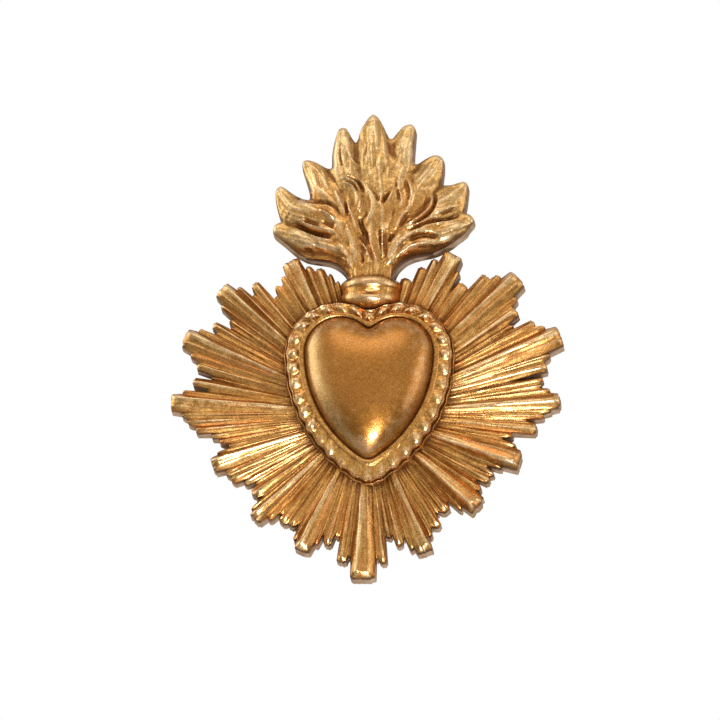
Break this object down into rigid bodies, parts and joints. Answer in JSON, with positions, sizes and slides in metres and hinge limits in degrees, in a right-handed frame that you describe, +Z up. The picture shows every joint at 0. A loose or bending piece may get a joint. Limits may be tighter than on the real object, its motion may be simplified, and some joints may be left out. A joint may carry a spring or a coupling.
{
  "type": "votive heart",
  "caption": "Cast wall ornament: a puffed heart in a crimped rim before a fluted sunburst, with a turned collar and flames above, hung by a blind hole in its flat back.",
  "frame": {"origin": "mouth of the blind hanging hole in the flat back", "axes": "+Z up, towards the tip of the flame; +X to the viewer's right; +Y out of the back, towards the wall"},
  "size_m": [0.1024, 0.0166, 0.1255],
  "materials": {
    "gilt_casting": "cast resin, gilded and antiqued on the front, bare grey-beige on the side walls and back"
  },
  "bodies": {
    "root": {"votive_heart": "gilt_casting"}
  },
  "joints": []
}
